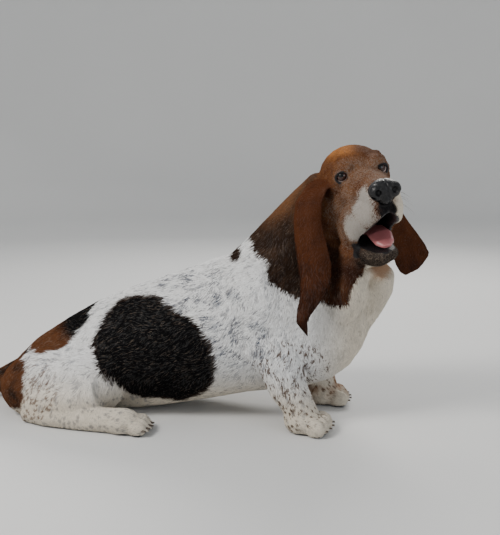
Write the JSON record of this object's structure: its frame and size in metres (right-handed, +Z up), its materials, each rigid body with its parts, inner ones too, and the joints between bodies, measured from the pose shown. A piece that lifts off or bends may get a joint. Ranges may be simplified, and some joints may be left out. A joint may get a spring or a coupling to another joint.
{
  "type": "basset hound, sitting, life-size still model",
  "caption": "Life-size basset hound sitting low on the floor, propped on short forelegs, head turned to its right with mouth open and long ears hanging.",
  "frame": {"origin": "on the floor, below the middle of the model's bounding box", "axes": "+X runs from the tail to the chest, +Y is the dog's left, +Z is up"},
  "size_m": [1.0133, 0.4444, 0.479],
  "materials": {
    "coat_head": "short chestnut fur, grizzled on brow and muzzle",
    "coat_jaw": "dark wet lip with sparse fur",
    "tongue": "wet and pink",
    "nose_leather": "black, moist, finely pebbled",
    "eye": "brown iris, wet and glossy",
    "coat_ear": "short velvety chestnut fur",
    "coat_neck": "short brown fur with a darker patch",
    "coat_body": "short white fur with black and brown patches and grey ticking",
    "coat_legs": "short cream fur with brown spots"
  },
  "bodies": {
    "root": {"head": "coat_head", "jaw": "coat_jaw", "tongue": "tongue", "nose": "nose_leather", "eye_right": "eye", "eye_left": "eye", "ear_right": "coat_ear", "ear_left": "coat_ear", "neck": "coat_neck", "torso": "coat_body", "tail": "coat_body", "foreleg_right": "coat_legs", "foreleg_left": "coat_legs", "forepaw_right": "coat_legs", "forepaw_left": "coat_legs", "hindleg_right": "coat_body", "hindleg_left": "coat_body", "hindpaw_right": "coat_legs", "hindpaw_left": "coat_legs"}
  },
  "joints": []
}
